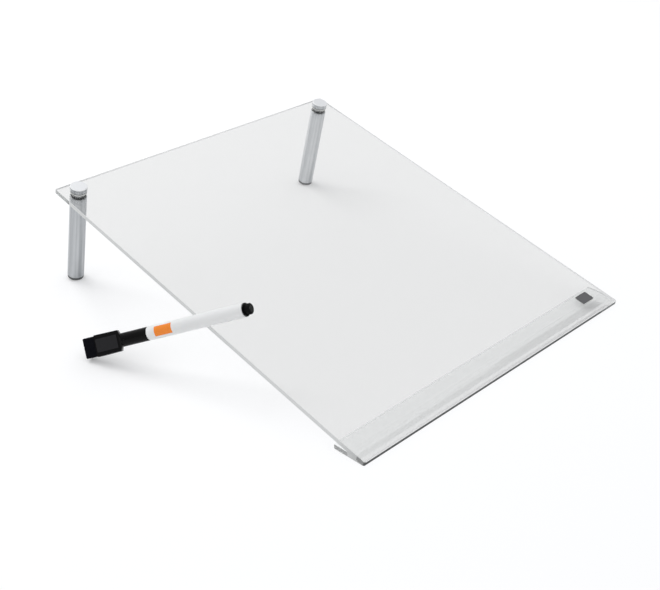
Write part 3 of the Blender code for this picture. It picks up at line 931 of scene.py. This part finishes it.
socket_gap = felt_high.z - tongue_length
felt = new_block(
    "wool_felt_eraser",
    Vector((felt_low.x + felt_unevenness, felt_low.y + felt_unevenness, felt_low.z + felt_unevenness)),
    Vector((felt_high.x - felt_unevenness, felt_high.y - felt_unevenness, socket_gap - magnet_gap)),
    felt_corner,
)
round_edges(felt_corner / 2, segments=4, sharper_than=60)
pick(felt, "faces", lambda face: face.normal.z > square_on)
bpy.ops.mesh.inset(thickness=tongue_inset)
bpy.ops.mesh.extrude_region_move(TRANSFORM_OT_translate={"value": (0, 0, tongue_length)})
bpy.ops.object.mode_set(mode="OBJECT")
pressed = felt.modifiers.new("pressed", "REMESH")
pressed.mode = "VOXEL"
pressed.voxel_size = felt_cell
bpy.ops.object.modifier_apply(modifier=pressed.name)
bpy.ops.object.mode_set(mode="EDIT")
bpy.ops.mesh.select_all(action="SELECT")
bpy.ops.transform.vertex_random(offset=felt_unevenness, uniform=0.5, normal=1, seed=felt_seed)

# Wool felt: blue-black and quite dull, with a soft sheen at its edges and small tufts.
wool = grained_finish(
    "pressed_wool_felt", marker_place, (felt_tuft,) * 3, detail=6,
    colours=(felt_dark, felt_light), relief=(0.8, 0.0002),
    sockets={
        "Roughness": 0.95, "Sheen Weight": 0.06, "Sheen Roughness": 0.5, "Specular IOR Level": 0.05,
    },
)
felt.data.materials.append(wool)
set_down(felt, marker_place, "pen_cap", "eraser_felt", slot="eraser_wool", smooth=60)

chance = Random(fibre_seed)
bpy.ops.object.select_all(action="DESELECT")
bpy.ops.mesh.primitive_cone_add(
    vertices=3, radius1=fibre_thickness / 2, radius2=fibre_thickness / 6, depth=fibre_length,
    location=(0, 0, fibre_length / 2),
)
fibre = bpy.context.object
bpy.ops.object.transform_apply(location=True, rotation=True, scale=True)
felt.data.calc_loop_triangles()
patches = [
    patch for patch in felt.data.loop_triangles
    if (marker_place.inverted() @ patch.center).z < socket_gap and patch.center.z > fibre_desk_space
]
fibres = []
for patch in chance.choices(patches, weights=[patch.area for patch in patches], k=fibre_count):
    strand = fibre.copy()
    strand.data = fibre.data.copy()
    lean = Vector([chance.uniform(-fibre_lean, fibre_lean) for _ in range(3)])
    way = (patch.normal + lean).normalized()
    grown = chance.uniform(fibre_shortest, 1)
    strand.matrix_world = (
        Matrix.Translation(patch.center) @ way.to_track_quat("Z", "Y").to_matrix().to_4x4()
        @ Matrix.Diagonal((1, 1, grown, 1))
    )
    bpy.context.collection.objects.link(strand)
    fibres.append(strand)
bpy.data.objects.remove(fibre)
bpy.ops.object.select_all(action="DESELECT")
for strand in fibres:
    strand.select_set(True)
bpy.context.view_layer.objects.active = fibres[0]
bpy.ops.object.join()
nap_fibres = bpy.context.object
nap_fibres.name = nap_fibres.data.name = "loose_felt_fibres"
nap_fibres.data.materials.append(wool)
bpy.ops.object.transform_apply(location=True, rotation=True, scale=True)
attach(nap_fibres, "pen_cap")

# Marker barrel: a white moulded tube with a slimmer neck that plugs into the cap, and one plain
# printed patch of colour near the cap, which goes a quarter of the way round.
fit_gap = 0.0003
neck_radius = 0.0031
neck_bore_radius = 0.0019
barrel_wall = 0.0010
nozzle_wall = 0.0030
barrel_edge = 0.00025
patch_start = 0.0541
patch_end = 0.0665
patch_first = 46
patch_last = 132
patch_orange = "F98A1E"
plastic_white = "F9FAF9"
white_grain = 0.0009
ink_grain = white_grain / 3

barrel_low, barrel_high = own_corners(marker_place, "marker_barrel")
barrel_radius = own_radii(marker_place, "marker_barrel")[1]
barrel_start = cap_high.z + fit_gap
marker_barrel = new_turning("white_marker_barrel", [
    (neck_bore_radius, barrel_low.z),
    (neck_radius, barrel_low.z),
    (neck_radius, barrel_start),
    (barrel_radius, barrel_start),
    (barrel_radius, patch_start),
    (barrel_radius, patch_end),
    (barrel_radius, barrel_high.z),
    (barrel_radius - barrel_wall, barrel_high.z),
    (barrel_radius - barrel_wall, barrel_start + nozzle_wall),
    (neck_bore_radius, barrel_start + nozzle_wall),
], ring=True)
round_edges(barrel_edge, sharper_than=40)

# White polypropylene, moulded: clean and half shiny, a little soft in its depth. The patch
# is screen printed in one thick, even orange ink that shines more than the plastic.
white_plastic = grained_finish(
    "moulded_white_polypropylene", marker_place, (white_grain,) * 3, detail=3,
    colours=(plastic_white,), dull=(0.25, 0.38), relief=(0.1, 0.00003),
    sockets={
        "IOR": polypropylene_ior, "Specular IOR Level": 0.25, "Subsurface Weight": 0.45,
        "Subsurface Radius": (1, 1, 1), "Subsurface Scale": 0.004,
    },
)
orange_ink = grained_finish(
    "screen_printed_orange_ink", marker_place, (ink_grain,) * 3, detail=3,
    colours=(patch_orange,), dull=(0.22, 0.32),
)
for finish in (white_plastic, orange_ink):
    marker_barrel.data.materials.append(finish)
finish_faces(marker_barrel, 1, lambda face: (
    patch_start < face.calc_center_median().z < patch_end
    and face.normal.xy.dot(face.calc_center_median().xy) > 0
    and patch_first < degrees(atan2(face.normal.y, face.normal.x)) < patch_last
))
set_down(marker_barrel, marker_place, "pen", "marker_barrel", slot="white_plastic", smooth=35)

# Nib holder: a natural polyethylene plug in the barrel's neck, with a collar that stops it and a
# nose that the cap's seal closes on.
holder_bore_radius = 0.0014
holder_root_radius = 0.0016
holder_tip_radius = 0.0017
holder_nose_radius = 0.0020
collar_radius = 0.0028
collar_thickness = 0.0010
holder_edge = 0.00012
natural_white = "DDDCD6"

holder_low, holder_high = own_corners(marker_place, "nib_holder")
collar_end = barrel_low.z - fit_gap
nib_holder = new_turning("natural_nib_holder", [
    (holder_bore_radius, holder_low.z),
    (holder_tip_radius, holder_low.z),
    (holder_nose_radius, collar_end - collar_thickness),
    (collar_radius, collar_end - collar_thickness),
    (collar_radius, collar_end),
    (holder_root_radius, collar_end),
    (holder_root_radius, holder_high.z),
    (holder_bore_radius, holder_high.z),
], small_turned_sides, ring=True)
round_edges(holder_edge / 2, segments=2, sharper_than=40)

# Natural polyethylene, moulded: milky, waxy and half dull. The cap's seal is of the same plastic.
natural_plastic = grained_finish(
    "natural_polyethylene", marker_place, (white_grain,) * 3, detail=3,
    colours=(natural_white,), dull=(0.35, 0.5),
    sockets={"Subsurface Weight": 0.3, "Subsurface Scale": 0.0015},
)
nib_holder.data.materials.append(natural_plastic)
set_down(nib_holder, marker_place, "pen", "nib_holder", slot="seal_plastic", smooth=35)
frame["nodes"]["cap_seal"].material_slots[0].material = natural_plastic

# Nib: a rod of bonded fibre ground to a bullet tip, and black with ink. The reservoir behind it is
# a thicker rod of looser fibre.
nib_radius = 0.0011
nib_sides = 48
nib_tip_length = 0.0012
nib_tip_rounding = 0.0005
fibre_run = 0.004
fibre_pitch = 0.00012
ink_black = "0F1014"
ink_worn = "24262C"

nib_low, nib_high = own_corners(marker_place, "marker_nib")
marker_nib = new_turning("bonded_fibre_nib", [
    (own_radii(marker_place, "marker_nib")[0], nib_low.z),
    (nib_radius, nib_low.z + nib_tip_length),
    (nib_radius, nib_high.z),
], nib_sides)
round_edges(nib_tip_rounding / 2, sharper_than=20)

# Bonded fibre soaked with ink: nearly black, with fine threads along the rod.
inked_fibre = grained_finish(
    "inked_bonded_fibre", marker_place, (fibre_pitch, fibre_pitch, fibre_run), detail=3,
    colours=(ink_black, ink_worn), relief=(0.5, 0.00005), sockets={"Roughness": 0.7},
)
marker_nib.data.materials.append(inked_fibre)
set_down(marker_nib, marker_place, "pen", "marker_nib", slot="nib_fibre", smooth=35)
frame["nodes"]["ink_reservoir"].material_slots[0].material = inked_fibre

# End plug: a stopper of the cap's black plastic, pressed into the barrel's tail, with a thin flange
# and a smaller knob that is ribbed for the fingers.
plug_radius = 0.0032
flange_thickness = 0.0008
knob_radius = 0.0031
knob_ribs = 16
knob_rib_height = 0.0003
knob_rounding = 0.0005
plug_edge = 0.00012

plug_low, plug_high = own_corners(marker_place, "end_plug")
flange_radius = own_radii(marker_place, "end_plug")[1]
flange_start = barrel_high.z + fit_gap
knob_start = flange_start + flange_thickness
end_plug = new_turning("black_end_plug", [
    (plug_radius - plug_edge, plug_low.z),
    (plug_radius, plug_low.z + plug_edge),
    (plug_radius, flange_start),
    (flange_radius, flange_start),
    (flange_radius, knob_start),
    (knob_radius, knob_start),
    (knob_radius, plug_high.z - knob_rounding),
    (knob_radius - knob_rounding, plug_high.z),
], small_turned_sides)
pick(end_plug, "faces", lambda face: (
    abs(face.normal.z) < barely
    and knob_start < face.calc_center_median().z
    and face.calc_center_median().xy.angle_signed(Vector((0, 1))) % (2 * pi / knob_ribs) < pi / knob_ribs
))
bpy.ops.mesh.extrude_region_shrink_fatten(TRANSFORM_OT_shrink_fatten={"value": knob_rib_height})
round_edges(plug_edge / 2, segments=2, sharper_than=40)
end_plug.data.materials.append(cap_plastic)
set_down(end_plug, marker_place, "pen", "end_plug", slot="black_plastic", smooth=35)
